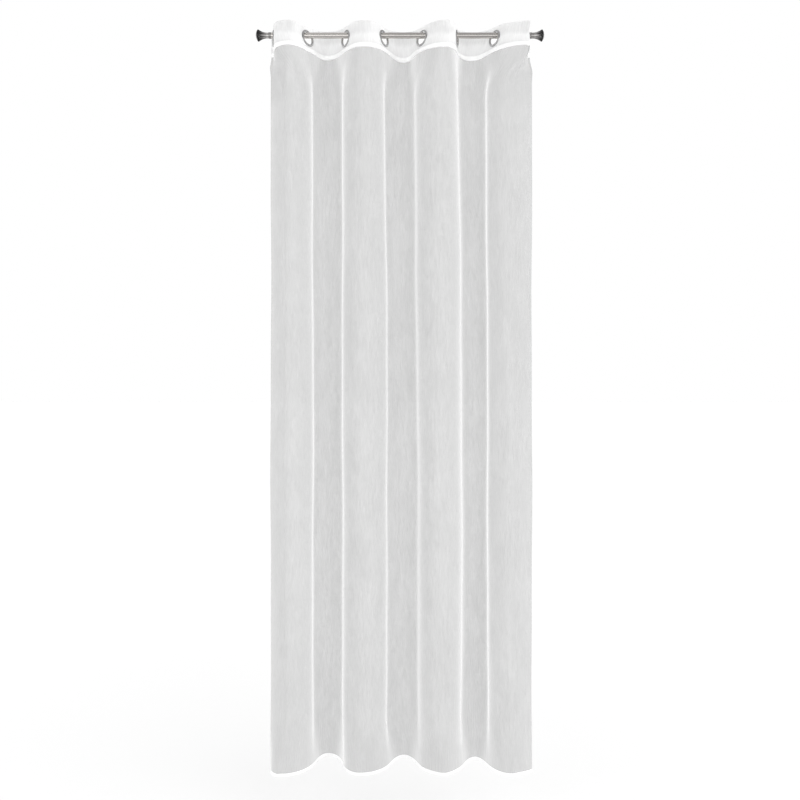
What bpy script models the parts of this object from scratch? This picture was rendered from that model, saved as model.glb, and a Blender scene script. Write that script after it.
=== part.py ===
"""Sheer voile curtain on eight eyelets, hanging in soft folds from a round metal rod.

Metres, +Z up. The origin is on the rod's axis, halfway along it. +X runs along the rod to the
right, -Y is the front, and the cloth hangs down to negative Z.
"""

import math

import bmesh
import bpy
from mathutils import Matrix, Vector

# ---- driving dimensions -------------------------------------------------------------------

CLOTH_WIDTH = 1.400  # the flat width of the cloth
EYELETS = 8
SIDE_MARGIN = 0.050  # flat cloth outside the first and the last eyelet's centre
PITCH = (CLOTH_WIDTH - 2 * SIDE_MARGIN) / (EYELETS - 1)  # cloth from eyelet to eyelet

TOP_Z = 0.032  # the heading's top edge above the rod's axis, at an eyelet
HEADING_HEIGHT = 0.090
HEM_Z = -2.478  # the bottom edge of the cloth
SEAM_Z = TOP_Z - HEADING_HEIGHT  # where the heading ends and the plain cloth begins
GAP = 0.0003  # between pieces that touch on the real curtain
SEAM_GAP = 0.0006  # between the heading and the cloth below it, which tilts against it

HEADING_THICK = 0.002
PANEL_THICK = 0.001

ROD_RADIUS = 0.010
ROD_WALL = 0.001
ROD_SPAN = 0.973  # tip to tip, with both finials
FINIAL_LENGTH = 0.0505
FINIAL_SPIGOT = 0.020

EYELET_INNER = 0.0215  # radius of the opening
EYELET_OUTER = 0.0287  # radius of the flanges
EYELET_NECK = 0.0245  # radius of the waist between the flanges
EYELET_HALF = 0.0034  # half the eyelet's thickness, at the crown of a flange
HOLE_RADIUS = EYELET_NECK + 0.0006
EYELET_HANG = 0.00035  # between the rod's top and the inside of an eyelet
EYELET_Z = -(EYELET_INNER - ROD_RADIUS - EYELET_HANG)

# ---- how the cloth hangs ------------------------------------------------------------------

# Seen from above, the cloth is a wave. A flank is where it turns from front to back: on the
# rod's plane at an eyelet (head), and steepest a little behind that plane below the heading.
# The columns give where it lies along X near the rod (head), below the heading (upper), far
# down (lower) and at the hem, with how far it bows to the right halfway down, then how far
# behind the rod's plane the steepest place lies (back), all in millimetres, and the angle in
# degrees at which the cloth crosses there. lean is how far the head's crossing moves along X
# for each millimetre that it rises. run is how far the head's flank runs on before it turns,
# as a share of the way to the crest. settled is the height in millimetres down to which the
# cloth's shape changes from that at the seam to that of the body, and swing is how far the
# flank swings to the right on the way.
FLANK_COLUMNS = ("head lean run upper bow lower hem back_body back_hem"
                 " angle_head angle_body angle_hem settled swing")
FLANKS = [
    (-427.0, 0.00, 0.45, -396.5, 0.0, -397.5, -411, -45, -53, 80, 30, 32, -150, 4.0),
    (-312.0, -0.20, 0.30, -300.0, 2.0, -297.0, -295, 26, 20, 54, 94, 68, -200, 0),
    (-183.5, 0.08, 0.30, -196.5, 0.0, -194.5, -191, 24, 10, 57, 87, 80, -200, 0),
    (-54.1, -0.15, 0.30, -54.0, 6.5, -47.5, -35, 24, 20, 59, 91, 66, -200, 0),
    (73.7, 0.20, 0.30, 50.0, 3.0, 63.0, 69, 20, 5, 52, 78, 64, -200, 0),
    (192.0, 0.00, 0.30, 196.5, 7.5, 208.0, 210, 24, 5, 78, 86, 60, -200, 0),
    (319.4, 0.18, 0.30, 293.5, 1.5, 300.0, 299, 26, 12, 56, 93, 66, -200, 0),
    (431.2, 0.00, 0.50, 397.0, 0.0, 397.0, 398, -47, -43, 80, 18, 18, -180, -4),
]

# A crest is the middle of a half fold, between two flanks, in front of the rod (-1) or behind
# it (1): where it lies along X, in millimetres, how broad it is (0 pointed, 1 flat), and how
# much cloth the half fold takes up, in eyelet pitches, for the body and for the hem. At the
# head the eyelets hold one pitch in each half fold. sag_top and sag_seam are how far the
# heading's crest hangs below the eyelets along its top edge and along the seam, and settled is
# the height down to which this fold changes from its shape at the seam, in millimetres.
CREST_COLUMNS = ("side head body hem broad_head broad_body broad_hem share_body share_hem"
                 " sag_top sag_seam settled")
CRESTS = [
    (-1, -368, -370, -395, 0.55, 0.50, 0.50, 0.82, 0.80, 4, -1, -150),
    (1, -253, -252, -251, 0.55, 0.55, 0.60, 0.78, 1.06, 0, -3.5, -200),
    (-1, -119, -119, -135, 0.55, 0.50, 0.50, 1.22, 1.15, 4, 2, -200),
    (1, 14, 6, 14, 0.55, 0.55, 0.50, 0.78, 0.95, 2, 4, -200),
    (-1, 149, 130, 148, 0.55, 0.50, 0.25, 1.22, 0.98, 4, 5.5, -200),
    (1, 243, 250, 260, 0.55, 0.55, 0.50, 0.78, 0.80, 2, 0.5, -200),
    (-1, 432, 375, 372, 0.45, 0.50, 0.50, 0.75, 0.70, 4, -5, -180),
]

# The free edges beyond the end eyelets: side is -1 on the left and 1 on the right, and curl is
# how far the edge turns to the back, or outwards where it is below zero, in degrees.
MARGIN_TABLE_COLUMNS = "side curl_head curl_body curl_hem"
MARGINS = [
    (-1, -70, 20, 50),
    (1, -80, 16, 16),
]

# The heights between which those shapes change: head down to the seam, upper, lower, hem.
HEIGHTS = (SEAM_Z, -0.20, -2.30, HEM_Z)

FLAT_RADIUS = 0.036  # the cloth lies flat this far round an eyelet's centre
FLAT_LEAST = 0.003  # half the straight part of a flank elsewhere
RUN_BODY = 0.34  # how far a flank runs on before it turns, below the heading and at the hem
RUN_HEM = 0.30
FLARE_TOP = 0.89  # depth of the folds at the top edge, against the depth the cloth gives
FLARE_SEAM = 1.13
SAG_ENDS = -0.35  # the height at which the crests' sag has faded out

STEPS = 24  # points along each half of a half fold, before they are spaced evenly
FOLD_COLUMNS = 12  # of the sheet's mesh, in each half fold
MARGIN_COLUMNS = 4

# Rows of the two cloths, as heights. The panel begins below the heading's lower edge.
HEADING_ROWS = [TOP_Z, 0.019, 0.005, EYELET_Z, -0.024, -0.0385, -0.048, SEAM_Z]
PANEL_ROWS = [SEAM_Z - SEAM_GAP, -0.075, -0.090, -0.105, -0.125, -0.160, -0.20,
              -0.60, -1.00, -1.50, -1.90, -2.30, -2.36, -2.42, HEM_Z]


def smooth(t):
    t = min(max(t, 0.0), 1.0)
    return t * t * (3 - 2 * t)


def at_height(values, z, settled=HEIGHTS[1]):
    """The value at height z of a measure given at the seam, settled, low down and at the hem."""
    seam, upper, lower, hem = values
    top, _, low, bottom = HEIGHTS
    if z > settled:
        return seam + (upper - seam) * smooth((top - z) / (top - settled))
    if z > low:
        return upper + (lower - upper) * (settled - z) / (settled - low)
    return lower + (hem - lower) * smooth((low - z) / (low - bottom))


def flank_at(row, z):
    """Where a flank lies at height z, in metres, its direction and its run."""
    f = dict(zip(FLANK_COLUMNS.split(), row))
    settled = f["settled"] / 1000
    rise = max(z, SEAM_Z) - EYELET_Z
    head = f["head"] / 1000 + f["lean"] * rise
    x = at_height((head, f["upper"] / 1000, f["lower"] / 1000, f["hem"] / 1000), z, settled)
    down = min(max((HEIGHTS[1] - z) / (HEIGHTS[1] - HEIGHTS[2]), 0.0), 1.0)
    x += f["bow"] / 1000 * 4 * down * (1 - down)
    turned = smooth((HEIGHTS[0] - z) / (HEIGHTS[0] - settled))
    x += f["swing"] / 1000 * 4 * turned * (1 - turned)
    back = f["back_body"] / 1000
    y = at_height((0, back, back, f["back_hem"] / 1000), z, settled)
    angle = at_height((f["angle_head"], f["angle_body"], f["angle_body"], f["angle_hem"]), z,
                      settled)
    run = at_height((f["run"], RUN_BODY, RUN_BODY, RUN_HEM), z, settled)
    return Vector((x, y)), math.radians(angle), run


def flat_at(z):
    """Half the straight part of a flank: flat round an eyelet, next to nothing elsewhere."""
    rise = abs(z - EYELET_Z)
    return FLAT_LEAST + math.sqrt(max(0.0, FLAT_RADIUS ** 2 - rise ** 2))


def flare_at(z):
    """How much deeper than the cloth alone gives the folds are, down the heading."""
    if z < SEAM_Z:
        return at_height((FLARE_SEAM, 1, 1, 1), z)
    return FLARE_TOP + (FLARE_SEAM - FLARE_TOP) * smooth((TOP_Z - z) / HEADING_HEIGHT)


def bezier(p0, p1, p2, p3, steps=STEPS):
    """Points along a cubic curve, without its first point."""
    points = []
    for i in range(1, steps + 1):
        t = i / steps
        a, b, c, d = (1 - t) ** 3, 3 * t * (1 - t) ** 2, 3 * t * t * (1 - t), t ** 3
        points.append(p0 * a + p1 * b + p2 * c + p3 * d)
    return points


def length_of(points):
    return sum((b - a).length for a, b in zip(points, points[1:]))


def quarter(start, direction, crest, run, broad, flat):
    """Points from a flank to the crest, seen from above."""
    leave = start + direction * flat
    chord = (crest - leave).length
    reach = broad * abs(crest.x - leave.x)
    towards = math.copysign(1.0, crest.x - leave.x)
    knee = Vector((crest.x - towards * reach, crest.y))
    return [start, leave] + bezier(leave, leave + direction * run * chord, knee, crest)


def half_fold(left, right, crest, z, depth):
    """Points from one flank to the next, round a crest of the given depth."""
    side = crest["side"]
    settled = crest["settled"] / 1000
    x = at_height([crest[k] / 1000 for k in ("head", "body", "body", "hem")], z, settled)
    broad = at_height([crest["broad_" + k] for k in ("head", "body", "body", "hem")], z, settled)
    top = Vector((x, side * depth))
    (start, a, run_out), (end, b, run_back) = left, right
    out = Vector((math.cos(a), side * math.sin(a)))
    back = Vector((-math.cos(b), side * math.sin(b)))
    first = quarter(start, out, top, run_out, broad, flat_at(z))
    second = quarter(end, back, top, run_back, broad, flat_at(z))
    return first + second[-2::-1]


def fold_depth(left, right, crest, z):
    """The crest depth at which a half fold takes up its share of the cloth."""
    shares = (1, crest["share_body"], crest["share_body"], crest["share_hem"])
    cloth = at_height(shares, z, crest["settled"] / 1000) * PITCH
    side = crest["side"]
    low = max(0.010, side * left[0].y, side * right[0].y)
    high = 0.140
    for _ in range(20):
        middle = (low + high) / 2
        if length_of(half_fold(left, right, crest, z, middle)) < cloth:
            low = middle
        else:
            high = middle
    return low


def margin(number, z):
    """Points from an end eyelet out to the free edge: flat at first, then turning."""
    row = FLANKS[0] if number == 0 else FLANKS[-1]
    settled = dict(zip(FLANK_COLUMNS.split(), row))["settled"] / 1000
    m = dict(zip(MARGIN_TABLE_COLUMNS.split(), MARGINS[number]))
    start, angle, _ = flank_at(row, z)
    flat = at_height((FLAT_RADIUS + FLAT_LEAST,) + (FLAT_LEAST,) * 3, z, settled)
    curl = at_height((m["curl_head"], m["curl_body"], m["curl_body"], m["curl_hem"]), z, settled)
    out = Vector((m["side"] * math.cos(angle), math.sin(angle)))
    points = [start, start + out * flat]
    step = (SIDE_MARGIN - flat) / MARGIN_COLUMNS
    heading = math.atan2(out.y, out.x)
    for _ in range(MARGIN_COLUMNS):
        heading += m["side"] * math.radians(curl) / MARGIN_COLUMNS
        points.append(points[-1] + Vector((math.cos(heading), math.sin(heading))) * step)
    return points


def spaced(points, count):
    """The start of each of count even steps along a line of points."""
    step = length_of(points) / count
    found, walked, i = [], 0.0, 0
    for k in range(count):
        while i < len(points) - 2 and walked + (points[i + 1] - points[i]).length < k * step:
            walked += (points[i + 1] - points[i]).length
            i += 1
        along = (k * step - walked) / (points[i + 1] - points[i]).length
        found.append(points[i].lerp(points[i + 1], along))
    return found


def cloth_row(z):
    """The cloth's points at height z, from its left edge to its right one."""
    flanks = [flank_at(row, z) for row in FLANKS]
    row = [(p, z) for p in spaced(margin(0, z)[::-1], MARGIN_COLUMNS)]
    fade = smooth((z - SAG_ENDS) / (SEAM_Z - SAG_ENDS))
    to_seam = min((TOP_Z - z) / HEADING_HEIGHT, 1.0)
    for crest, f, g in zip(CRESTS, flanks, flanks[1:]):
        crest = dict(zip(CREST_COLUMNS.split(), crest))
        depth = fold_depth(f, g, crest, z) * flare_at(z)
        sag = crest["sag_top"] + (crest["sag_seam"] - crest["sag_top"]) * to_seam
        fold = spaced(half_fold(f, g, crest, z, depth), FOLD_COLUMNS)
        row += [(p, z - sag / 1000 * fade * math.sin(math.pi * k / FOLD_COLUMNS) ** 2)
                for k, p in enumerate(fold)]
    right = margin(1, z)
    row += [(p, z) for p in spaced(right, MARGIN_COLUMNS) + right[-1:]]
    return [(p.x, p.y, height) for p, height in row]


# ---- building -----------------------------------------------------------------------------

for old in list(bpy.data.objects):
    bpy.data.objects.remove(old)

curtain = bpy.data.collections.new("curtain")
hole_cutters = bpy.data.collections.new("hole_cutters")
for collection in (curtain, hole_cutters):
    bpy.context.scene.collection.children.link(collection)


def material(name, colour, roughness, metallic=0.0):
    made = bpy.data.materials.new(name)
    made.use_nodes = True
    shader = made.node_tree.nodes["Principled BSDF"]
    shader.inputs["Base Color"].default_value = (*colour, 1.0)
    shader.inputs["Roughness"].default_value = roughness
    shader.inputs["Metallic"].default_value = metallic
    return made


voile = material("sheer_voile", (0.88, 0.88, 0.87), 0.85)
heading_cloth = material("stiffened_voile", (0.92, 0.92, 0.91), 0.85)
eyelet_metal = material("eyelet_brushed_nickel", (0.58, 0.55, 0.53), 0.35, metallic=1.0)
rod_metal = material("rod_brushed_nickel", (0.60, 0.57, 0.54), 0.35, metallic=1.0)
finial_metal = material("finial_polished_chrome", (0.50, 0.50, 0.50), 0.10, metallic=1.0)


def add_object(name, shape, surface, collection=curtain):
    mesh = bpy.data.meshes.new(name)
    shape.to_mesh(mesh)
    shape.free()
    mesh.materials.append(surface)
    made = bpy.data.objects.new(name, mesh)
    collection.objects.link(made)
    return made


def sheet(name, rows, thickness, surface):
    """A cloth through its rows of points, thickened to both sides alike."""
    shape = bmesh.new()
    grid = [[shape.verts.new(point) for point in cloth_row(z)] for z in rows]
    for upper, lower in zip(grid, grid[1:]):
        for i in range(len(upper) - 1):
            shape.faces.new((upper[i], lower[i], lower[i + 1], upper[i + 1]))
    made = add_object(name, shape, surface)
    solidify = made.modifiers.new("cloth_thickness", 'SOLIDIFY')
    solidify.thickness = thickness
    solidify.offset = 0.0
    solidify.use_even_offset = True
    return made


def turned(name, profile, steps, surface, closed=False):
    """A piece turned about its own Z axis from a profile of (radius, height) points."""
    shape = bmesh.new()
    corners = [shape.verts.new((radius, 0.0, height)) for radius, height in profile]
    for a, b in zip(corners, corners[1:] + (corners[:1] if closed else [])):
        shape.edges.new((a, b))
    made = add_object(name, shape, surface)
    screw = made.modifiers.new("turning", 'SCREW')
    screw.axis = 'Z'
    screw.steps = screw.render_steps = steps
    screw.use_merge_vertices = True
    screw.merge_threshold = 0.00001
    return made


# ---- the cloth ----------------------------------------------------------------------------

panel = sheet("voile_panel", PANEL_ROWS, PANEL_THICK, voile)
heading = sheet("heading_band", HEADING_ROWS, HEADING_THICK, heading_cloth)

# ---- the eyelets, each square to the cloth where it crosses the rod ------------------------

EYELET_STEPS = 24
BORE_HALF = 0.0022  # half the height of the straight part of the bore
CROWN_RADIUS = 0.0246  # where a flange is highest
GROOVE_HALF = HEADING_THICK / 2 + 0.00035
LIP = 0.0004  # rounding of a flange's outer edge

one_side = [
    (EYELET_INNER, BORE_HALF),
    (EYELET_INNER + 0.0010, EYELET_HALF - 0.0003),
    (CROWN_RADIUS, EYELET_HALF),
    (EYELET_OUTER - 0.0014, EYELET_HALF - 0.0008),
    (EYELET_OUTER, GROOVE_HALF + LIP),
    (EYELET_OUTER - LIP, GROOVE_HALF),
    (EYELET_NECK, GROOVE_HALF),
]
eyelet_profile = one_side + [(radius, -height) for radius, height in reversed(one_side)]


def hang_height(upward, facing):
    """The height of an eyelet's centre at which its bore only just clears the rod's top."""
    clear = ROD_RADIUS + EYELET_HANG
    sideways = upward.cross(facing)
    apothem = EYELET_INNER * math.cos(math.pi / EYELET_STEPS)
    heights = []
    for degrees in range(-60, 61, 3):
        turn = math.radians(degrees)
        for end in (-BORE_HALF, BORE_HALF):
            spot = apothem * (math.cos(turn) * upward + math.sin(turn) * sideways) + end * facing
            if abs(spot.y) < clear:
                heights.append(math.sqrt(clear ** 2 - spot.y ** 2) - spot.z)
    return max(heights)


HOLE_SIDES = 32
HOLE_CUT = 0.024  # length of a hole cutter, through the band and clear of it

for number, flank in enumerate(FLANKS, 1):
    where = dict(zip(FLANK_COLUMNS.split(), flank))
    side = -1 if number % 2 else 1
    angle = math.radians(where["angle_head"])
    along = Vector((math.cos(angle), side * math.sin(angle), 0.0))
    up = Vector((where["lean"], 0.0, 1.0))
    facing = along.cross(up).normalized()
    upward = (up - facing * up.dot(facing)).normalized()
    turn = Matrix((upward.cross(facing), upward, facing)).transposed().to_4x4()
    height = hang_height(upward, facing)
    x = where["head"] / 1000 + where["lean"] * (height - EYELET_Z)
    centre = Matrix.Translation((x, 0.0, height)) @ turn

    eyelet = turned(f"eyelet_{number}", eyelet_profile, EYELET_STEPS, eyelet_metal, closed=True)
    eyelet.matrix_world = centre

    shape = bmesh.new()
    bmesh.ops.create_cone(shape, cap_ends=True, segments=HOLE_SIDES, radius1=HOLE_RADIUS,
                          radius2=HOLE_RADIUS, depth=HOLE_CUT)
    cutter = add_object(f"hole_cutter_{number}", shape, heading_cloth, hole_cutters)
    cutter.matrix_world = centre
    cutter.display_type = 'WIRE'
    cutter.hide_render = True

holes = heading.modifiers.new("eyelet_holes", 'BOOLEAN')
holes.operation = 'DIFFERENCE'
holes.solver = 'EXACT'
holes.operand_type = 'COLLECTION'
holes.collection = hole_cutters

# ---- the rod and its flared ends ----------------------------------------------------------

ROD_STEPS = 32
ROD_HALF = ROD_SPAN / 2 - FINIAL_LENGTH - GAP
along_rod = Matrix.Rotation(math.radians(90), 4, 'Y')

bore = ROD_RADIUS - ROD_WALL
rod = turned("rod", [(ROD_RADIUS, ROD_HALF), (ROD_RADIUS, -ROD_HALF),
                     (bore, -ROD_HALF), (bore, ROD_HALF)],
             ROD_STEPS, rod_metal, closed=True)
rod.matrix_world = along_rod

# A finial from the end of its spigot, inside the tube, to its tip: radius and distance from
# the collar's end, in millimetres.
spigot = (ROD_RADIUS - ROD_WALL - GAP) * 1000
FINIAL_PROFILE = [
    (0, -FINIAL_SPIGOT * 1000), (spigot, -FINIAL_SPIGOT * 1000), (spigot, 0.0),
    (10.6, 0.0), (11.0, 0.5), (11.0, 2.4), (10.0, 3.2), (10.7, 4.6), (10.7, 7.0),
    (9.8, 8.8), (9.7, 14.0), (10.5, 20.5), (12.0, 27.0), (13.9, 32.0), (16.4, 37.0),
    (19.2, 41.2), (19.7, 42.6), (19.3, 43.9), (17.2, 45.8), (11.5, 48.7), (5.0, 50.2),
    (0, 50.5),
]
FINIAL_STEPS = 24

for name, side in (("finial_left", -1), ("finial_right", 1)):
    profile = [(radius / 1000, distance / 1000) for radius, distance in FINIAL_PROFILE]
    finial = turned(name, profile[::-1], FINIAL_STEPS, finial_metal)
    end = ROD_SPAN / 2 - FINIAL_LENGTH
    finial.matrix_world = Matrix.Translation((side * end, 0, 0)) @ Matrix.Rotation(
        math.radians(90 * side), 4, 'Y')
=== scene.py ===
# %% [markdown]
# # A sheer voile curtain on a rod
#
# The curtain is one cut panel of voile with a stiffened heading. Eight metal eyelets grip the
# heading, and the rod runs through them, so the cloth hangs in soft waves, in front of the rod
# and behind it by turns. The solids that carry the real sizes come in with the frame. The cells
# below dress them: a fine sheet for each cloth, turned metal for what it hangs on, and
# materials worked out from what the real ones are.

# %% The frame
import math

import bmesh
import bpy
from mathutils import Matrix, Vector


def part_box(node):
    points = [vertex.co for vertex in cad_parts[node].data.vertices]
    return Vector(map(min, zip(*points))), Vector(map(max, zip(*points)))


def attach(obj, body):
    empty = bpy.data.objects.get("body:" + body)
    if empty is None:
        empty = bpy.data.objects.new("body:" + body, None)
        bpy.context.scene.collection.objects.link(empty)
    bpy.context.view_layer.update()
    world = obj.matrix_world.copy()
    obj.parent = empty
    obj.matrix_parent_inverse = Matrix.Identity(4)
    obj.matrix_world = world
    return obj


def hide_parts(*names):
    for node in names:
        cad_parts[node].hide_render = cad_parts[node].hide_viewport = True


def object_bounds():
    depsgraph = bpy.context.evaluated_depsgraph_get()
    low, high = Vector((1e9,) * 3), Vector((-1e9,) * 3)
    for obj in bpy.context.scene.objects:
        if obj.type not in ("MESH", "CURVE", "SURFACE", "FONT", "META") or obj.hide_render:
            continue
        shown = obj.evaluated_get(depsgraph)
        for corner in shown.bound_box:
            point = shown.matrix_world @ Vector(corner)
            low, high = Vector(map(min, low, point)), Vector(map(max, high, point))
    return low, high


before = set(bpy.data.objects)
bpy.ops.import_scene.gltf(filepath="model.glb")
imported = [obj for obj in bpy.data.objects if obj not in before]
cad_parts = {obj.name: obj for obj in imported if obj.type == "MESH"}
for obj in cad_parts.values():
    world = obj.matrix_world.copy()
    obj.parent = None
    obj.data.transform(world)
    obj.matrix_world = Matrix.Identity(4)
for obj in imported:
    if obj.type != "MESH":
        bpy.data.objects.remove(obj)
cad_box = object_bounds()
print("nodes:", ", ".join(sorted(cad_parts)))
print("box:", [round(v, 3) for corner in cad_box for v in corner])

# %% [markdown]
# ## Camera
#
# The eyelets, 57 mm across, give the scale of the picture in the rod's plane, and the way the
# hem of each fold shifts up or down gives the camera's distance. The camera looks level along
# +Y, at about the height of the middle of the cloth, and is shifted a little downwards, as a
# view camera is, so that the cloth's sides stay parallel.

# %% Camera
PICTURE = 800  # pixels along a side
MM_PER_PIXEL = 3.38  # in the rod's plane
CAMERA_DISTANCE = 2.75
HORIZON_ROW = 365  # the row at the camera's own height
ROD_ROW = 35.65  # the row of the rod's axis
SENSOR = 36.0  # millimetres

camera_data = bpy.data.cameras.new("camera")
camera_data.sensor_width = SENSOR
camera_data.lens = SENSOR * CAMERA_DISTANCE * 1000 / (PICTURE * MM_PER_PIXEL)
camera_data.shift_y = (HORIZON_ROW - PICTURE / 2) / PICTURE
camera = bpy.data.objects.new("camera", camera_data)
camera_height = -(HORIZON_ROW - ROD_ROW) * MM_PER_PIXEL / 1000
camera.location = (0.0, -CAMERA_DISTANCE, camera_height)
camera.rotation_euler = (math.radians(90), 0.0, 0.0)
bpy.context.scene.collection.objects.link(camera)
bpy.context.scene.camera = camera
print(f"lens {camera_data.lens:.1f} mm, camera at z = {camera_height:.3f} m")

# %% [markdown]
# ## Colours and nodes
#
# Colours are written as the sRGB hex values that a picture editor shows, and one function turns
# them into the linear values that Blender's sockets take. Another adds a node with its settings,
# values and links, so that a material reads as a short list.


# %% Helpers for materials
SMOOTH_RANGE = {"interpolation_type": 'SMOOTHSTEP'}
COLOUR_MIX = {"data_type": 'RGBA'}
ADD, SUBTRACT, MULTIPLY, MULTIPLY_ADD, POWER, LESS_THAN = [
    {"operation": name}
    for name in ('ADD', 'SUBTRACT', 'MULTIPLY', 'MULTIPLY_ADD', 'POWER', 'LESS_THAN')]
NOISE_RANGE = {"From Min": 0.3, "From Max": 0.7}  # between these most of a noise's values lie


def linear(hex_colour):
    """An sRGB hex colour as linear red, green, blue and an alpha of one."""
    parts = [int(hex_colour[i:i + 2], 16) / 255 for i in (1, 3, 5)]
    return [c / 12.92 if c <= 0.04045 else ((c + 0.055) / 1.055) ** 2.4 for c in parts] + [1.0]


def node(tree, kind, settings=None, values=None, links=None):
    """Adds a shader node. settings are its own properties; values and links go to its sockets."""
    made = tree.nodes.new("ShaderNode" + kind)
    for name, value in (settings or {}).items():
        setattr(made, name, value)
    for socket, value in (values or {}).items():
        made.inputs[socket].default_value = value
    for socket, source in (links or {}).items():
        tree.links.new(source, made.inputs[socket])
    return made


def new_material(name):
    """A new material without any nodes, and its tree."""
    made = bpy.data.materials.new(name)
    made.use_nodes = True
    made.node_tree.nodes.clear()
    return made, made.node_tree


def fill_ramp(ramp, stops):
    """Gives a colour ramp its stops, each a position from 0 to 1 and a linear colour."""
    while len(ramp.elements) < len(stops):
        ramp.elements.new(0.5)
    for element, (position, colour) in zip(ramp.elements, stops):
        element.position = position
        element.color = colour


# %% [markdown]
# ## Studio
#
# Such a curtain is photographed in a white studio with light from all round, so the world is
# plain white for the cloth and for the camera. Polished metal would have nothing to mirror
# there. A photographer puts dark and bright boards where only the metal shows them, and the
# world does the same here: rays that leave a glossy surface meet bands of light and dark, which
# run level all round. The floor is white and lies a hand below the hem.

# %% Studio
BANDS = [  # height of a mirrored ray, as the sine of its angle, and how bright it finds the studio
    (-1.00, 0.65), (-0.90, 0.75), (-0.75, 0.62), (-0.55, 0.20), (-0.42, 0.22), (-0.32, 1.20),
    (-0.20, 1.90), (0.06, 1.90), (0.20, 1.00), (0.30, 0.10), (0.50, 0.05), (0.62, 0.25),
    (0.80, 0.60), (1.00, 0.80),
]
SIDE_BOARDS = 0.60  # brightness of the boards to the left and right, which only the metal sees
SIDE_BOARDS_FROM = (0.45, 0.85)  # how far sideways a ray points where they come in
LEFT_BANDS = 1.08  # the bands are brighter towards the left than towards the right
RIGHT_BANDS = 0.74
BANDS_CHANGE = (-0.07, -0.02)  # how far to the right a ray points where they change
STUDIO_WHITE = 1.0
LEFT_LIGHT = 1.65  # brightness of the studio for what isn't polished, to the left
MIDDLE_LIGHT = 0.74  # in front and behind
RIGHT_LIGHT = 2.75  # and to the right, where the large soft light stands
FLOOR_DROP = 0.12
FLOOR_TONE = "#CDCDCD"
FLOOR_LIFT = 0.192  # the light that the white floor gets from below the picture
FLOOR_SIZE = 60.0

scene = bpy.context.scene
scene.view_settings.view_transform = 'Standard'
scene.view_settings.look = 'None'

world = bpy.data.worlds.new("white_studio")
world.use_nodes = True
scene.world = world
tree = world.node_tree
tree.nodes.clear()
ray = node(tree, 'TexCoord')
height = node(tree, 'SeparateXYZ', links={"Vector": ray.outputs["Generated"]})
height_share = node(tree, 'MapRange', values={"From Min": -1.0, "From Max": 1.0},
                    links={"Value": height.outputs["Z"]})
bands = node(tree, 'ValToRGB', links={"Fac": height_share.outputs["Result"]})
fill_ramp(bands.color_ramp, [((sine + 1) / 2, (brightness,) * 3 + (1.0,))
                             for sine, brightness in BANDS])
sideways = node(tree, 'Math', {"operation": 'ABSOLUTE'}, links={0: height.outputs["X"]})
from_left = node(tree, 'MapRange',
                 values={"From Min": -1.0, "From Max": 0.0, "To Min": LEFT_LIGHT,
                         "To Max": MIDDLE_LIGHT}, links={"Value": height.outputs["X"]})
from_right = node(tree, 'MapRange', values={"To Max": RIGHT_LIGHT - MIDDLE_LIGHT},
                  links={"Value": height.outputs["X"]})
soft_lights = node(tree, 'Math', ADD,
                   links={0: from_left.outputs["Result"], 1: from_right.outputs["Result"]})
leftwards = node(tree, 'MapRange', SMOOTH_RANGE,
                 {"From Min": BANDS_CHANGE[0], "From Max": BANDS_CHANGE[1],
                  "To Min": LEFT_BANDS, "To Max": RIGHT_BANDS}, {"Value": height.outputs["X"]})
uneven = node(tree, 'VectorMath', {"operation": 'SCALE'},
              links={"Vector": bands.outputs["Color"], "Scale": leftwards.outputs["Result"]})
at_side = node(tree, 'MapRange', SMOOTH_RANGE,
               {"From Min": SIDE_BOARDS_FROM[0], "From Max": SIDE_BOARDS_FROM[1]},
               {"Value": sideways.outputs["Value"]})
boards = node(tree, 'Mix', COLOUR_MIX, {"B": (SIDE_BOARDS,) * 3 + (1.0,)},
              {"Factor": at_side.outputs["Result"], "A": uneven.outputs["Vector"]})
path = node(tree, 'LightPath')
mirrored = node(tree, 'Mix', COLOUR_MIX,
                links={"Factor": path.outputs["Is Glossy Ray"],
                       "A": soft_lights.outputs["Value"], "B": boards.outputs["Result"]})
seen = node(tree, 'Mix', COLOUR_MIX, {"B": (STUDIO_WHITE,) * 3 + (1.0,)},
            {"Factor": path.outputs["Is Camera Ray"], "A": mirrored.outputs["Result"]})
glow = node(tree, 'Background', links={"Color": seen.outputs["Result"]})
node(tree, 'OutputWorld', links={"Surface": glow.outputs["Background"]})

bpy.ops.object.select_all(action='DESELECT')
bpy.ops.mesh.primitive_plane_add(size=FLOOR_SIZE,
                                 location=(0.0, 0.0, cad_box[0].z - FLOOR_DROP))
floor = bpy.context.object
floor.name = "floor"
floor.visible_glossy = False
painted, tree = new_material("white_floor_paint")
paint = node(tree, 'BsdfDiffuse', values={"Color": linear(FLOOR_TONE)})
lift = node(tree, 'Emission', values={"Strength": FLOOR_LIFT})
lifted = node(tree, 'AddShader', links={0: paint.outputs["BSDF"], 1: lift.outputs["Emission"]})
node(tree, 'OutputMaterial', links={"Surface": lifted.outputs["Shader"]})
floor.data.materials.append(painted)
print("studio: white world,", len(BANDS), "bands for the metal, floor at",
      round(floor.location.z, 3))

# %% [markdown]
# ## How the cloth hangs
#
# Seen from above, the cloth is a wave. It crosses the rod at each eyelet (a flank) and turns
# back in front of the rod or behind it (a crest). Between two eyelets there is a set length of
# cloth, so the depth of a fold isn't free: it follows from where its flanks and its crest lie.
# The tables give those places fold by fold, at four heights, and a short search finds the depth
# at which the length is right. A cloth simulation would give smoother and more even folds than
# the real ones here, which hang unevenly.

# %% Sizes of the cloth
CLOTH_WIDTH = 1.400
SIDE_MARGIN = 0.050  # cloth outside the first and the last eyelet's centre
EYELETS = 8
PITCH = (CLOTH_WIDTH - 2 * SIDE_MARGIN) / (EYELETS - 1)

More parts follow.
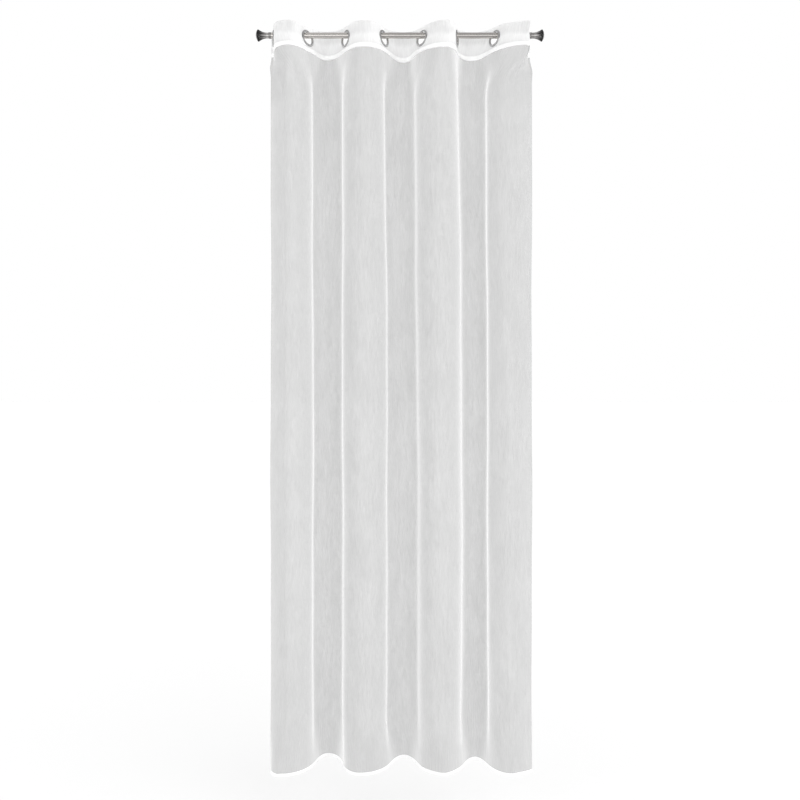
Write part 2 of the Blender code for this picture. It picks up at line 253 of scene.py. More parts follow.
TOP_Z = 0.032
HEADING_HEIGHT = 0.090
SEAM_Z = TOP_Z - HEADING_HEIGHT
HEM_Z = -2.478
EYELET_Z = -0.01115  # the middle of an eyelet that hangs square on the rod
DROP = SEAM_Z - HEM_Z
HEIGHTS = (SEAM_Z, -0.20, -2.30, HEM_Z)  # where the tables' places hold
print(f"flat cloth {CLOTH_WIDTH:.2f} m wide, {PITCH * 1000:.1f} mm from eyelet to eyelet")

# %% Table of flanks and crests
# Millimetres along X at the head, upper, lower and hem, with a bow to the right halfway down;
# how far behind the rod's plane the steepest place lies (back), and the angle in degrees at
# which the cloth crosses there. lean is how far the head's crossing moves along X for each
# millimetre up, and run is how far the head's flank runs on before it turns. Down to the height
# settled the shape changes from that at the seam to that of the body, and the flank swings to
# the right on the way by swing.
FLANK_COLUMNS = ("head lean run upper bow lower hem back_body back_hem"
                 " angle_head angle_body angle_hem settled swing")
FLANKS = [
    (-427.0, 0.00, 0.45, -396.5, 0.0, -397.5, -411, -45, -53, 80, 30, 32, -150, 4.0),
    (-312.0, -0.20, 0.30, -300.0, 2.0, -297.0, -295, 26, 20, 54, 94, 68, -200, 0),
    (-183.5, 0.08, 0.30, -196.5, 0.0, -194.5, -191, 24, 10, 57, 87, 80, -200, 0),
    (-54.1, -0.15, 0.30, -54.0, 6.5, -47.5, -35, 24, 20, 59, 91, 66, -200, 0),
    (73.7, 0.20, 0.30, 50.0, 3.0, 63.0, 69, 20, 5, 52, 78, 64, -200, 0),
    (192.0, 0.00, 0.30, 196.5, 7.5, 208.0, 210, 24, 5, 78, 86, 60, -200, 0),
    (319.4, 0.18, 0.30, 293.5, 1.5, 300.0, 299, 26, 12, 56, 93, 66, -200, 0),
    (431.2, 0.00, 0.50, 397.0, 0.0, 397.0, 398, -47, -43, 80, 18, 18, -180, -4),
]

# side is -1 in front of the rod and 1 behind it; then the crest's place in millimetres, how
# broad it is (0 pointed, 1 flat), the cloth in its half fold, in pitches, and how far the
# heading's crest hangs below the eyelets, at its top edge and at the seam. settled is as for a
# flank.
CREST_COLUMNS = ("side head body hem broad_head broad_body broad_hem share_body share_hem"
                 " sag_top sag_seam settled")
CRESTS = [
    (-1, -368, -370, -395, 0.55, 0.50, 0.50, 0.82, 0.80, 4, -1, -150),
    (1, -253, -252, -251, 0.55, 0.55, 0.60, 0.78, 1.06, 0, -3.5, -200),
    (-1, -119, -119, -135, 0.55, 0.50, 0.50, 1.22, 1.15, 4, 2, -200),
    (1, 14, 6, 14, 0.55, 0.55, 0.50, 0.78, 0.95, 2, 4, -200),
    (-1, 149, 130, 148, 0.55, 0.50, 0.25, 1.22, 0.98, 4, 5.5, -200),
    (1, 243, 250, 260, 0.55, 0.55, 0.50, 0.78, 0.80, 2, 0.5, -200),
    (-1, 432, 375, 372, 0.45, 0.50, 0.50, 0.75, 0.70, 4, -5, -180),
]

# The free edges beyond the end eyelets: side is -1 on the left and 1 on the right, and curl is
# how far the edge turns to the back, or outwards where it is below zero, in degrees.
CURL_COLUMNS = "side curl_head curl_body curl_hem"
MARGINS = [
    (-1, -70, 20, 50),
    (1, -80, 16, 16),
]


def table(columns, rows):
    """Rows of a table as dictionaries, by the names of its columns."""
    return [dict(zip(columns.split(), row)) for row in rows]


flanks = table(FLANK_COLUMNS, FLANKS)
crests = table(CREST_COLUMNS, CRESTS)
margins = table(CURL_COLUMNS, MARGINS)
print(len(flanks), "flanks and", len(crests), "crests")

# %% Shape values
FLAT_RADIUS = 0.036  # the cloth lies flat this far round an eyelet's centre
FLAT_LEAST = 0.003  # and, at every height, this much further along a flank
RUN_BODY = 0.34  # a flank's run, as in the table, over the body and at the hem
RUN_HEM = 0.30
FLARE_TOP = 0.89  # depth of the folds at the top edge, against the depth the cloth gives
FLARE_SEAM = 1.13  # and at the seam
SAG_ENDS = -0.35  # the height at which the sag of the crests has faded out
DEPTHS = (0.010, 0.140)  # metres between which a fold's depth is searched for
HALVINGS = 16  # steps of that search
STEPS = 20  # points along each half of a half fold, before they are spaced evenly
FOLD_COLUMNS = 30  # columns of the grid from one eyelet to the next
MARGIN_COLUMNS = 10  # and from an end eyelet to the free edge
COLUMNS = 2 * MARGIN_COLUMNS + (EYELETS - 1) * FOLD_COLUMNS + 1

WANDER = 0.0012  # how far a flank strays sideways as it goes down
WANDER_WAVES = ((1.15, 1.0), (0.46, 0.45))  # length in metres and share of each wave of it
WANDER_SHIFT = 0.37  # waves by which each flank's straying is ahead of the one before it
WANDER_FADES = (0.4, 0.3)  # metres over which it fades in below the seam, and out above the hem
SAMPLE_Z = -1.0  # the height at which the prints below look at the cloth


# %% From the tables to a line of cloth
def smooth(t):
    """From 0 to 1 with a soft start and end, as t goes from 0 to 1."""
    t = min(max(t, 0.0), 1.0)
    return t * t * (3 - 2 * t)


def arch(t):
    """From 0 up to 1 halfway and back to 0, as t goes from 0 to 1."""
    return 4 * t * (1 - t)


def at_height(values, z, settled=HEIGHTS[1]):
    """The value at height z of a measure given at the seam, settled, low down and at the hem."""
    seam, upper, lower, hem = values
    top, _, low, bottom = HEIGHTS
    if z > settled:
        return seam + (upper - seam) * smooth((top - z) / (top - settled))
    if z > low:
        return upper + (lower - upper) * (settled - z) / (settled - low)
    return lower + (hem - lower) * smooth((low - z) / (low - bottom))


def stray(number, z):
    """How far flank number strays along X at height z: none at the heading and at the hem."""
    waves = sum(share * math.sin(2 * math.pi * (z / length + WANDER_SHIFT * number))
                for length, share in WANDER_WAVES)
    fade = smooth((SEAM_Z - z) / WANDER_FADES[0]) * smooth((z - HEM_Z) / WANDER_FADES[1])
    return WANDER * waves * fade


def flank_at(number, z):
    """Where a flank crosses at height z, seen from above, with its angle and its run."""
    f = flanks[number]
    settled = f["settled"] / 1000
    rise = max(z, SEAM_Z) - EYELET_Z
    head = f["head"] / 1000 + f["lean"] * rise
    x = at_height((head, f["upper"] / 1000, f["lower"] / 1000, f["hem"] / 1000), z, settled)
    down = min(max((HEIGHTS[1] - z) / (HEIGHTS[1] - HEIGHTS[2]), 0.0), 1.0)
    swung = smooth((HEIGHTS[0] - z) / (HEIGHTS[0] - settled))
    x += (f["bow"] * arch(down) + f["swing"] * arch(swung)) / 1000
    back = f["back_body"] / 1000
    y = at_height((0, back, back, f["back_hem"] / 1000), z, settled)
    angle = at_height((f["angle_head"], f["angle_body"], f["angle_body"], f["angle_hem"]), z,
                      settled)
    run = at_height((f["run"], RUN_BODY, RUN_BODY, RUN_HEM), z, settled)
    return Vector((x + stray(number, z), y)), math.radians(angle), run


def flat_at(z):
    """How far the cloth runs on flat from a flank, which is furthest round the eyelets."""
    rise = abs(z - EYELET_Z)
    return FLAT_LEAST + math.sqrt(max(0.0, FLAT_RADIUS ** 2 - rise ** 2))


def flare_at(z):
    """The depth of the folds at height z, against the depth that the cloth's length gives."""
    if z < SEAM_Z:
        return at_height((FLARE_SEAM, 1, 1, 1), z)
    return FLARE_TOP + (FLARE_SEAM - FLARE_TOP) * smooth((TOP_Z - z) / HEADING_HEIGHT)


def bezier(p0, p1, p2, p3):
    """Points along a cubic curve, without its first point."""
    points = []
    for i in range(1, STEPS + 1):
        t = i / STEPS
        a, b, c, d = (1 - t) ** 3, 3 * t * (1 - t) ** 2, 3 * t * t * (1 - t), t ** 3
        points.append(p0 * a + p1 * b + p2 * c + p3 * d)
    return points


def length_of(points):
    """The length of a line of points."""
    return sum((b - a).length for a, b in zip(points, points[1:]))


def quarter(start, direction, crest, run, broad, flat):
    """Points from a flank to the crest, seen from above."""
    leave = start + direction * flat
    chord = (crest - leave).length
    reach = broad * abs(crest.x - leave.x)
    towards = math.copysign(1.0, crest.x - leave.x)
    knee = Vector((crest.x - towards * reach, crest.y))
    return [start, leave] + bezier(leave, leave + direction * run * chord, knee, crest)


def half_fold(left, right, crest, z, depth):
    """Points from one flank to the next, round a crest of the given depth."""
    side = crest["side"]
    settled = crest["settled"] / 1000
    x = at_height([crest[k] / 1000 for k in ("head", "body", "body", "hem")], z, settled)
    broad = at_height([crest["broad_" + k] for k in ("head", "body", "body", "hem")], z, settled)
    top = Vector((x, side * depth))
    (start, a, run_out), (end, b, run_back) = left, right
    out = Vector((math.cos(a), side * math.sin(a)))
    back = Vector((-math.cos(b), side * math.sin(b)))
    first = quarter(start, out, top, run_out, broad, flat_at(z))
    second = quarter(end, back, top, run_back, broad, flat_at(z))
    return first + second[-2::-1]


def fold_depth(left, right, crest, z):
    """The crest depth at which a half fold takes up its share of the cloth."""
    shares = (1, crest["share_body"], crest["share_body"], crest["share_hem"])
    cloth = at_height(shares, z, crest["settled"] / 1000) * PITCH
    side = crest["side"]
    low = max(DEPTHS[0], side * left[0].y, side * right[0].y)
    high = DEPTHS[1]
    for _ in range(HALVINGS):
        middle = (low + high) / 2
        if length_of(half_fold(left, right, crest, z, middle)) < cloth:
            low = middle
        else:
            high = middle
    return low


sample = fold_depth(flank_at(0, SAMPLE_Z), flank_at(1, SAMPLE_Z), crests[0], SAMPLE_Z)
print(f"fold 1 is {1000 * sample:.0f} mm deep at a height of {SAMPLE_Z} m")


# %% Rows of points across the cloth
def margin(number, z):
    """Points from an end eyelet out to the free edge: flat at first, then turning."""
    f, m = flanks[-number], margins[number]
    settled = f["settled"] / 1000
    start, angle, _ = flank_at(number * (len(flanks) - 1), z)
    flat = at_height((FLAT_RADIUS + FLAT_LEAST,) + (FLAT_LEAST,) * 3, z, settled)
    curl = at_height((m["curl_head"], m["curl_body"], m["curl_body"], m["curl_hem"]), z, settled)
    out = Vector((m["side"] * math.cos(angle), math.sin(angle)))
    points = [start, start + out * flat]
    step = (SIDE_MARGIN - flat) / MARGIN_COLUMNS
    heading = math.atan2(out.y, out.x)
    for _ in range(MARGIN_COLUMNS):
        heading += m["side"] * math.radians(curl) / MARGIN_COLUMNS
        points.append(points[-1] + Vector((math.cos(heading), math.sin(heading))) * step)
    return points


def spaced(points, count):
    """The start of each of count even steps along a line of points."""
    step = length_of(points) / count
    found, walked, i = [], 0.0, 0
    for k in range(count):
        while i < len(points) - 2 and walked + (points[i + 1] - points[i]).length < k * step:
            walked += (points[i + 1] - points[i]).length
            i += 1
        along = (k * step - walked) / (points[i + 1] - points[i]).length
        found.append(points[i].lerp(points[i + 1], along))
    return found


def cloth_row(z):
    """The cloth's points at height z, from its left edge to its right one."""
    at = [flank_at(number, z) for number in range(len(flanks))]
    row = [(p, z) for p in spaced(margin(0, z)[::-1], MARGIN_COLUMNS)]
    fade = smooth((z - SAG_ENDS) / (SEAM_Z - SAG_ENDS))
    to_seam = min((TOP_Z - z) / HEADING_HEIGHT, 1.0)
    for crest, f, g in zip(crests, at, at[1:]):
        depth = fold_depth(f, g, crest, z) * flare_at(z)
        sag = crest["sag_top"] + (crest["sag_seam"] - crest["sag_top"]) * to_seam
        fold = spaced(half_fold(f, g, crest, z, depth), FOLD_COLUMNS)
        row += [(p, z - sag / 1000 * fade * math.sin(math.pi * k / FOLD_COLUMNS) ** 2)
                for k, p in enumerate(fold)]
    right = margin(1, z)
    row += [(p, z) for p in spaced(right, MARGIN_COLUMNS) + right[-1:]]
    return [Vector((p.x, p.y, height)) for p, height in row]


print("each row has", len(cloth_row(SAMPLE_Z)), "points")

# %% [markdown]
# ## Creases
#
# Between its big folds a hung voile has small flutes and the traces of how it lay in its pack.
# Each is listed: where it lies across the flat cloth, how broad and how deep it is, and
# between which heights it fades in and out. They are only a millimetre or two deep, but light
# that grazes the cloth shows them.

# %% Table of creases
CREASE_COLUMNS = "across breadth depth top bottom"
CREASES = [  # metres across the flat cloth, millimetres, millimetres, and two heights in metres
    (0.085, 22, 1.6, -0.15, -1.70),
    (0.175, 18, -1.2, -0.90, -2.40),
    (0.330, 20, 1.3, -0.12, -1.20),
    (0.385, 16, -1.0, -1.10, -2.35),
    (0.505, 24, 1.5, -0.70, -2.40),
    (0.560, 16, -1.1, -0.10, -1.40),
    (0.735, 20, 1.2, -0.40, -2.10),
    (0.800, 15, -1.0, -1.30, -2.42),
    (0.905, 22, 1.4, -0.12, -1.60),
    (0.960, 17, -1.2, -0.80, -2.38),
    (1.075, 18, 1.1, -0.30, -1.90),
    (1.235, 24, -1.4, -0.15, -1.80),
    (1.300, 20, 1.5, -0.95, -2.42),
]
CREASE_FADE = 0.35  # metres over which a crease comes and goes
CREASE_REACH = 2.5  # breadths from its middle at which a crease ends
creases = table(CREASE_COLUMNS, CREASES)
print(len(creases), "creases")


def crease_depth(across, z):
    """How far the creases move the cloth to the front at a place on it."""
    total = 0.0
    for c in creases:
        off = (across - c["across"]) / (c["breadth"] / 1000)
        if abs(off) < CREASE_REACH and c["bottom"] < z < c["top"]:
            ends = min(c["top"] - z, z - c["bottom"]) / CREASE_FADE
            total += c["depth"] / 1000 * math.exp(-off * off) * smooth(ends)
    return total


# %% [markdown]
# ## Building a sheet
#
# A sheet is a grid: its rows come from the heights asked for, and its columns follow the same
# threads all the way down, so the weave's pattern hangs straight. The UV map holds the place on
# the flat cloth in metres, across and up from the lower edge, and the materials work their
# patterns out from it.


# %% The sheet function
def across_at(column):
    """Metres across the flat cloth of a column of the grid."""
    if column <= MARGIN_COLUMNS:
        return SIDE_MARGIN * column / MARGIN_COLUMNS
    inner = column - MARGIN_COLUMNS
    if inner <= (EYELETS - 1) * FOLD_COLUMNS:
        return SIDE_MARGIN + PITCH * inner / FOLD_COLUMNS
    last = inner - (EYELETS - 1) * FOLD_COLUMNS
    return CLOTH_WIDTH - SIDE_MARGIN + SIDE_MARGIN * last / MARGIN_COLUMNS


def grid_of(heights, creased):
    """Points of the cloth, a row for each height, with its creases where asked."""
    rows = [cloth_row(z) for z in heights]
    if not creased:
        return rows
    moved = []
    for z, row in zip(heights, rows):
        line = []
        for i, point in enumerate(row):
            tangent = row[min(i + 1, len(row) - 1)] - row[max(i - 1, 0)]
            out = Vector((tangent.y, -tangent.x, 0.0)).normalized()
            line.append(point + out * crease_depth(across_at(i), z))
        moved.append(line)
    return moved


def sheet(name, rows, heights, surface):
    """A mesh grid through rows of points, with its place on the flat cloth as a UV map."""
    shape = bmesh.new()
    cloth_uv = shape.loops.layers.uv.new("cloth")
    grid = [[shape.verts.new(point) for point in row] for row in rows]
    for r in range(len(grid) - 1):
        for c in range(COLUMNS - 1):
            corners = [(r, c), (r + 1, c), (r + 1, c + 1), (r, c + 1)]
            face = shape.faces.new([grid[i][j] for i, j in corners])
            face.smooth = True
            for loop, (i, j) in zip(face.loops, corners):
                loop[cloth_uv].uv = (across_at(j), heights[i] - heights[-1])
    mesh = bpy.data.meshes.new(name)
    shape.to_mesh(mesh)
    shape.free()
    mesh.materials.append(surface)
    made = bpy.data.objects.new(name, mesh)
    bpy.context.scene.collection.objects.link(made)
    print(f"{name}: {len(grid)} rows of {COLUMNS}")
    return made


def select_only(piece):
    """Makes a piece the active one, and the only one that is selected."""
    bpy.ops.object.select_all(action='DESELECT')
    piece.select_set(True)
    bpy.context.view_layer.objects.active = piece


def apply_all(piece):
    """Applies a piece's modifiers, in their order."""
    select_only(piece)
    for name in [m.name for m in piece.modifiers]:
        bpy.ops.object.modifier_apply(modifier=name)


# %% [markdown]
# ## Voile
#
# Voile is a plain weave of fine, hard-twisted polyester yarns set apart, so that about half of
# its area is holes. Its yarns are uneven: here and there one is thicker (a slub), and these
# show as short upright streaks. Two things make it look like voile. Seen square on, it lets the
# wall behind show through; seen along its surface, more yarns lie behind each other, so it
# closes up. The share that is let through is that of the square view to the power of one over
# the cosine of the angle, as for any thin layer. Its fuzz also shines at a low angle, which is
# sheen, and gives the steep flanks of the folds their light edges. Along the very rim of a fold
# the light slips past the yarns, so a thin line there is as bright as the studio behind.

# %% Voile
# Width and run of the streaks, in metres. The finest are as fine as the picture can show, since
# the real yarns lie 0.3 mm apart, which is too fine to draw.
YARN = (0.0015, 0.014)
SLUB = (0.0046, 0.038)  # thicker places in a yarn
CLOUD = (0.050, 0.120)  # patches where the weave is closer or more open
VOILE_SEEDS = (3.1, 7.7, 1.3)  # each shifts a pattern to a part of its own
STREAK_NOISE = {"Scale": 1.0, "Detail": 2.0, "Roughness": 0.55}
UNEVEN = (0.12, 0.34, 0.18)  # how much each of the three changes the share of the area covered
COVER = 0.56  # share of the area that yarns cover
HEM = 0.010  # height of the folded hem along the bottom
SIDE_HEM = 0.009  # width of those along the sides
HEM_COVER = 0.38  # how much more of the area the folded hem covers
SIDE_HEM_COVER = 0.03
VOILE_TONE = "#AEAEAE"  # tone of the yarns
WHITE = linear("#FFFFFF")  # tone of the hem and the fuzz
VOILE_FINISH = {"Roughness": 0.9, "Specular IOR Level": 0.1}
VOILE_RELIEF = {"Strength": 0.35, "Distance": 0.0006}
LEAST_COSINE = 0.06  # at lower angles the cloth closes up no further
THROUGH_YARNS = 0.05  # share of the light on a yarn that goes on through it
THROUGH_FUZZ = 0.5  # and of that on the fuzz
FUZZ_POWER = 2.0  # how closely the fuzz's shine keeps to low angles
RIM_POWER = 2.8  # and how closely the clear rim of a fold does
# Below the end eyelets the cloth twists, and there a painted shade cuts back its sheen and its
# clear rim.
PAINTED_SHADE = (0.55, 0.75)  # share of the sheen and rim cut away by the painted shade, on the left and on the right
PAINTED_SHADE_ACROSS = (0.10, 0.14)  # metres from a side edge over which it fades out
PAINTED_SHADE_DOWN = (0.14, 0.22)  # metres below the heading over which it fades out


def streaks_on(tree, place, sizes, seeds):
    """Noises that streak the flat cloth along its height, one for each size and seed."""
    made = []
    for (width, run), seed in zip(sizes, seeds):
        scaled = node(tree, 'Mapping',
                      values={"Scale": (1 / width, 1 / run, 1.0), "Location": (seed,) * 3},
                      links={"Vector": place.outputs["UV"]})
        made.append(node(tree, 'TexNoise', values=STREAK_NOISE,
                         links={"Vector": scaled.outputs["Vector"]}))
    return made


voile, tree = new_material("polyester_voile")
place = node(tree, 'UVMap', {"uv_map": "cloth"})
streaks = streaks_on(tree, place, (YARN, SLUB, CLOUD), VOILE_SEEDS)
cover = node(tree, 'Value')
cover.outputs["Value"].default_value = COVER - sum(UNEVEN) / 2
for streak, strength in zip(streaks, UNEVEN):
    cover = node(tree, 'Math', MULTIPLY_ADD, {1: strength},
                 {0: streak.outputs["Fac"], 2: cover.outputs["Value"]})

spot = node(tree, 'SeparateXYZ', links={"Vector": place.outputs["UV"]})
to_right_edge = node(tree, 'Math', SUBTRACT, {0: CLOTH_WIDTH}, {1: spot.outputs["X"]})
from_side = node(tree, 'Math', {"operation": 'MINIMUM'},
                 links={0: spot.outputs["X"], 1: to_right_edge.outputs["Value"]})
side_hem = node(tree, 'Math', LESS_THAN, {1: SIDE_HEM}, {0: from_side.outputs["Value"]})
bottom_hem = node(tree, 'Math', LESS_THAN, {1: HEM}, {0: spot.outputs["Y"]})
with_sides = node(tree, 'Math', MULTIPLY_ADD, {1: SIDE_HEM_COVER},
                  {0: side_hem.outputs["Value"], 2: cover.outputs["Value"]})
with_hem = node(tree, 'Math', MULTIPLY_ADD, {1: HEM_COVER},
                {0: bottom_hem.outputs["Value"], 2: with_sides.outputs["Value"]})

# A painted shade, placed by position on the cloth: near the side edges, just below the heading.
near_side = node(tree, 'MapRange', SMOOTH_RANGE,
                 {"From Min": PAINTED_SHADE_ACROSS[0], "From Max": PAINTED_SHADE_ACROSS[1],
                  "To Min": 1.0, "To Max": 0.0}, {"Value": from_side.outputs["Value"]})
shade_strength = node(tree, 'MapRange',
                   values={"From Max": CLOTH_WIDTH, "To Min": PAINTED_SHADE[0], "To Max": PAINTED_SHADE[1]},
                   links={"Value": spot.outputs["X"]})
near_top = node(tree, 'MapRange', SMOOTH_RANGE,
                {"From Min": DROP - PAINTED_SHADE_DOWN[1], "From Max": DROP - PAINTED_SHADE_DOWN[0]},
                {"Value": spot.outputs["Y"]})
shade_near_side = node(tree, 'Math', MULTIPLY,
                    links={0: near_side.outputs["Result"], 1: shade_strength.outputs["Result"]})
shade_mask = node(tree, 'Math', MULTIPLY,
               links={0: shade_near_side.outputs["Value"], 1: near_top.outputs["Result"]})
unshaded_shine = node(tree, 'Math', SUBTRACT, {0: 1.0}, {1: shade_mask.outputs["Value"]})

facing = node(tree, 'LayerWeight', values={"Blend": 0.5})
cosine = node(tree, 'Math', SUBTRACT, {0: 1.0}, {1: facing.outputs["Facing"]})
held_cosine = node(tree, 'Math', {"operation": 'MAXIMUM'}, {1: LEAST_COSINE},
                   {0: cosine.outputs["Value"]})
layers = node(tree, 'Math', {"operation": 'DIVIDE'}, {0: 1.0}, {1: held_cosine.outputs["Value"]})
holes = node(tree, 'Math', {**SUBTRACT, "use_clamp": True}, {0: 1.0},
             {1: with_hem.outputs["Value"]})
let_through = node(tree, 'Math', {**POWER, "use_clamp": True},
                   links={0: holes.outputs["Value"], 1: layers.outputs["Value"]})

tone = node(tree, 'Mix', COLOUR_MIX, {"A": linear(VOILE_TONE), "B": WHITE},
            {"Factor": bottom_hem.outputs["Value"]})
relief = node(tree, 'Bump', values=VOILE_RELIEF, links={"Height": streaks[1].outputs["Fac"]})
yarns = node(tree, 'BsdfPrincipled', values=VOILE_FINISH,
             links={"Base Color": tone.outputs["Result"], "Normal": relief.outputs["Normal"]})
glow_through = node(tree, 'BsdfTranslucent',
                    links={"Color": tone.outputs["Result"], "Normal": relief.outputs["Normal"]})
lit_yarns = node(tree, 'MixShader', values={0: THROUGH_YARNS},
                 links={1: yarns.outputs["BSDF"], 2: glow_through.outputs["BSDF"]})
fuzz_front = node(tree, 'BsdfDiffuse', values={"Color": WHITE})
fuzz_back = node(tree, 'BsdfTranslucent', values={"Color": WHITE})
fuzz = node(tree, 'MixShader', values={0: THROUGH_FUZZ},
            links={1: fuzz_front.outputs["BSDF"], 2: fuzz_back.outputs["BSDF"]})
low_angle = node(tree, 'Math', POWER, {1: FUZZ_POWER}, {0: facing.outputs["Facing"]})
shining = node(tree, 'Math', MULTIPLY,
               links={0: low_angle.outputs["Value"], 1: unshaded_shine.outputs["Value"]})
with_fuzz = node(tree, 'MixShader',
                 links={0: shining.outputs["Value"], 1: lit_yarns.outputs["Shader"],
                        2: fuzz.outputs["Shader"]})
clear = node(tree, 'BsdfTransparent')
woven = node(tree, 'MixShader',
             links={0: let_through.outputs["Value"], 1: with_fuzz.outputs["Shader"],
                    2: clear.outputs["BSDF"]})
glancing = node(tree, 'Math', POWER, {1: RIM_POWER}, {0: facing.outputs["Facing"]})
rim = node(tree, 'Math', MULTIPLY,
           links={0: glancing.outputs["Value"], 1: unshaded_shine.outputs["Value"]})
voile_surface = node(tree, 'MixShader',
                     links={0: rim.outputs["Value"], 1: woven.outputs["Shader"],
                            2: clear.outputs["BSDF"]})
node(tree, 'OutputMaterial', links={"Surface": voile_surface.outputs["Shader"]})
print("voile covers", COVER, "of its area seen square on")

# %% [markdown]
# ## Heading cloth
#
# The heading is the same voile folded over a stiff woven tape, so three or four layers lie on
# each other. It is almost closed and nearly white, and its streaks are fainter. Its tone by
# height is painted light: lightest near the rod's height, a little darker above and below it.
# Along its lower edge the tape is turned in once more, and that strip is the whitest of all.

# %% Heading cloth
TURN_IN = 0.0145  # height of the turned-in strip along the heading's lower edge
TAPE_PAINTED_LIGHT = [  # height above the heading's lower edge, in metres, and tone: painted light, lightest near the rod's height
    (0.015, "#F4F4F4"), (0.022, "#FBFBFB"), (0.042, "#FFFFFF"), (0.056, "#F7F7F7"),
    (0.090, "#F6F6F6"),
]
THIN_TONE = "#F0F0F0"  # by this the tape's tone is multiplied where the streaks are thin
THICKNESS_RANGE = {"From Min": 0.6, "From Max": 1.4}  # of the two streaks' sum, thin to thick
HEADING_SEEDS = (5.9, 2.2)
HEADING_FINISH = {"Roughness": 0.85, "Specular IOR Level": 0.15}
HEADING_RELIEF = {"Strength": 0.3, "Distance": 0.0005}
THROUGH_HEADING = 0.45  # share of the light on the heading that goes on through it

heading_cloth, tree = new_material("stiffened_voile")
place = node(tree, 'UVMap', {"uv_map": "cloth"})
streaks = streaks_on(tree, place, (YARN, SLUB), HEADING_SEEDS)
both = node(tree, 'Math', ADD, links={0: streaks[0].outputs["Fac"], 1: streaks[1].outputs["Fac"]})
thick_yarns = node(tree, 'MapRange', values=THICKNESS_RANGE,
                   links={"Value": both.outputs["Value"]})
spot = node(tree, 'SeparateXYZ', links={"Vector": place.outputs["UV"]})
turned_in = node(tree, 'Math', LESS_THAN, {1: TURN_IN}, {0: spot.outputs["Y"]})
up = node(tree, 'MapRange', values={"From Max": HEADING_HEIGHT},
          links={"Value": spot.outputs["Y"]})
yarn_tone = node(tree, 'Mix', COLOUR_MIX, {"A": linear(THIN_TONE), "B": WHITE},
                 {"Factor": thick_yarns.outputs["Result"]})
# Painted light: the tone by height is lightest near the rod and darker above and below it.
painted_light_by_height = node(tree, 'ValToRGB', links={"Fac": up.outputs["Result"]})
fill_ramp(painted_light_by_height.color_ramp, [(above / HEADING_HEIGHT, linear(hex_colour))
                                 for above, hex_colour in TAPE_PAINTED_LIGHT])
yarns_and_painted_light = node(tree, 'Mix', {**COLOUR_MIX, "blend_type": 'MULTIPLY'}, {"Factor": 1.0},
                 {"A": painted_light_by_height.outputs["Color"], "B": yarn_tone.outputs["Result"]})
tone_with_painted_light = node(tree, 'Mix', COLOUR_MIX, {"B": WHITE},
                 {"Factor": turned_in.outputs["Value"], "A": yarns_and_painted_light.outputs["Result"]})
relief = node(tree, 'Bump', values=HEADING_RELIEF, links={"Height": both.outputs["Value"]})
tape = node(tree, 'BsdfPrincipled', values=HEADING_FINISH,
            links={"Base Color": tone_with_painted_light.outputs["Result"], "Normal": relief.outputs["Normal"]})
tape_glow = node(tree, 'BsdfTranslucent', links={"Color": tone_with_painted_light.outputs["Result"]})
lit_tape = node(tree, 'MixShader', values={0: THROUGH_HEADING},
                links={1: tape.outputs["BSDF"], 2: tape_glow.outputs["BSDF"]})
node(tree, 'OutputMaterial', links={"Surface": lit_tape.outputs["Shader"]})
print("heading cloth made, turned in over", TURN_IN * 1000, "mm")

# %% [markdown]
# ## Metals
#
# The rod and the eyelets are steel plated with nickel and brushed: the brush leaves fine lines,
# along the rod and round the eyelets, which blur what the metal mirrors. The finials are
# polished, so they mirror the studio's bands sharply, and their colour holds a painted
# reflection: dark towards the rim of the flare, lighter on the neck and on the dome.


# %% Metals
PAINTED_REFLECTION = [  # distance from a finial's axis in metres, and the tone there: a painted reflection, darker towards the rim
    (0.0, "#B8B6B5"), (0.0098, "#C6C4C2"), (0.0112, "#A3A1A0"), (0.0140, "#6E6D6D"),
    (0.0175, "#4A4A4A"), (0.0197, "#363636"),
]
DOME_FROM = (0.4802, 0.4822)  # along the rod, where the painted reflection changes to the tone of the domed tip
# the domed tip's lighter tone is a painted reflection too
DOME_REFLECTION_TONE = "#A6A5A5"
FINIAL_ROUGHNESS = {"To Min": 0.06, "To Max": 0.12}
HAZE_NOISE = {"Scale": 90.0, "Detail": 2.0}
BRUSH_NOISE = {"Scale": 1.0, "Detail": 3.0, "Roughness": 0.6}
BRUSH_SPREAD = (-0.03, 0.05)  # how much a brush mark changes the roughness
BRUSH_RELIEF = {"Strength": 0.05, "Distance": 0.0001}
# Tone, roughness, and the size of a brush mark along X, Y and Z in metres.
ROD_BRUSHED = ("#DAD6D2", 0.19, (0.060, 0.0006, 0.0006))
EYELET_BRUSHED = ("#C9C9C9", 0.20, (0.0015, 0.0015, 0.0015))


def brushed_metal(name, hex_colour, roughness, grain):
    """Brushed plated steel, with brush marks of the size that grain gives."""
    made, tree = new_material(name)
    place = node(tree, 'TexCoord')
    scaled = node(tree, 'Mapping', values={"Scale": [1 / g for g in grain]},
                  links={"Vector": place.outputs["Object"]})
    marks = node(tree, 'TexNoise', values=BRUSH_NOISE, links={"Vector": scaled.outputs["Vector"]})
    rough = node(tree, 'MapRange',
                 values={**NOISE_RANGE, "To Min": roughness + BRUSH_SPREAD[0],
                         "To Max": roughness + BRUSH_SPREAD[1]},
                 links={"Value": marks.outputs["Fac"]})
    relief = node(tree, 'Bump', values=BRUSH_RELIEF, links={"Height": marks.outputs["Fac"]})
    metal = node(tree, 'BsdfPrincipled',
                 values={"Base Color": linear(hex_colour), "Metallic": 1.0},
                 links={"Roughness": rough.outputs["Result"], "Normal": relief.outputs["Normal"]})
    node(tree, 'OutputMaterial', links={"Surface": metal.outputs["BSDF"]})
    print(name, "made")
    return made


rod_metal = brushed_metal("brushed_nickel_rod", *ROD_BRUSHED)
eyelet_metal = brushed_metal("brushed_nickel_eyelet", *EYELET_BRUSHED)
